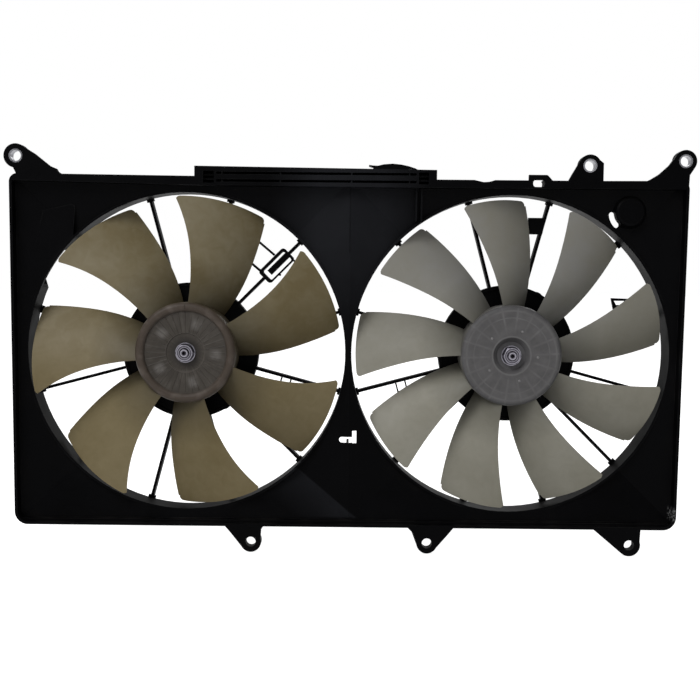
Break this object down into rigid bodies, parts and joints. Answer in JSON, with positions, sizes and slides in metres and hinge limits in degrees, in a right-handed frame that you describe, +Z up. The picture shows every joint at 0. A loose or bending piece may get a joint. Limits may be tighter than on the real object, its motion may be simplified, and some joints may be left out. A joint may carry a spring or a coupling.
{
  "type": "radiator cooling fan",
  "caption": "Flat moulded shroud with two ring openings, each with an electric fan on a rear motor held by radial struts; screwed up by ears along its upper and lower edges.",
  "frame": {"origin": "midway between the two upper outer mounting holes, on the front faces of their ears", "axes": "+X to the right as the radiator side is looked at, +Y rearward from the radiator to the motors, +Z up"},
  "size_m": [0.7284, 0.103, 0.4347],
  "materials": {
    "shroud_plastic": "moulded black, slightly satin",
    "tan_nylon": "semi-matt natural nylon, aged to tan",
    "grey_nylon": "semi-matt natural nylon, pale grey",
    "plated_steel": "zinc plated",
    "painted_steel": "black paint",
    "bearing_steel": "ground",
    "bronze": "sintered, oiled",
    "ferrite": "dull ceramic magnet",
    "card_plastic": "brown moulding",
    "carbon": "carbon and copper brush",
    "spring_steel": "bright strip",
    "socket_plastic": "moulded, dark grey",
    "brass": "bright",
    "lamination_steel": "stacked sheet steel",
    "copper_wire": "enamelled wire"
  },
  "bodies": {
    "shroud": {"fan_shroud": "shroud_plastic", "rail_clip": "shroud_plastic", "motor_stay_left": "shroud_plastic", "motor_stay_right": "shroud_plastic", "ear_sleeve_left": "plated_steel", "ear_sleeve_inner": "plated_steel", "ear_sleeve_right": "plated_steel", "motor_can_left": "painted_steel", "motor_can_right": "painted_steel", "motor_bracket_left": "painted_steel", "motor_bracket_right": "painted_steel", "mount_screws_left": "plated_steel", "mount_screws_right": "plated_steel", "end_cover_left": "painted_steel", "end_cover_right": "painted_steel", "cover_screws_left": "plated_steel", "cover_screws_right": "plated_steel", "front_bearing_left": "bearing_steel", "front_bearing_right": "bearing_steel", "rear_bush_left": "bronze", "rear_bush_right": "bronze", "magnets_left": "ferrite", "magnets_right": "ferrite", "brush_card_left": "card_plastic", "brush_card_right": "card_plastic", "brushes_left": "carbon", "brushes_right": "carbon", "brush_springs_left": "spring_steel", "brush_springs_right": "spring_steel", "plug_socket_left": "socket_plastic", "plug_socket_right": "socket_plastic", "plug_terminals_left": "brass", "plug_terminals_right": "brass"},
    "left_rotor": {"fan_wheel_left": "tan_nylon", "shaft_left": "bearing_steel", "armature_core_left": "lamination_steel", "windings_left": "copper_wire", "commutator_left": "brass", "hub_insert_left": "plated_steel", "hub_washer_left": "plated_steel", "hub_nut_left": "plated_steel"},
    "right_rotor": {"fan_wheel_right": "grey_nylon", "shaft_right": "bearing_steel", "armature_core_right": "lamination_steel", "windings_right": "copper_wire", "commutator_right": "brass", "hub_insert_right": "plated_steel", "hub_washer_right": "plated_steel", "hub_nut_right": "plated_steel"}
  },
  "joints": [
    {"name": "left_fan_spin", "type": "hinge", "parent": "shroud", "child": "left_rotor", "pos_m": [-0.1748, 0.014, -0.2065], "axis": [0, -1, 0], "continuous": true},
    {"name": "right_fan_spin", "type": "hinge", "parent": "shroud", "child": "right_rotor", "pos_m": [0.1738, 0.014, -0.2065], "axis": [0, -1, 0], "continuous": true}
  ]
}
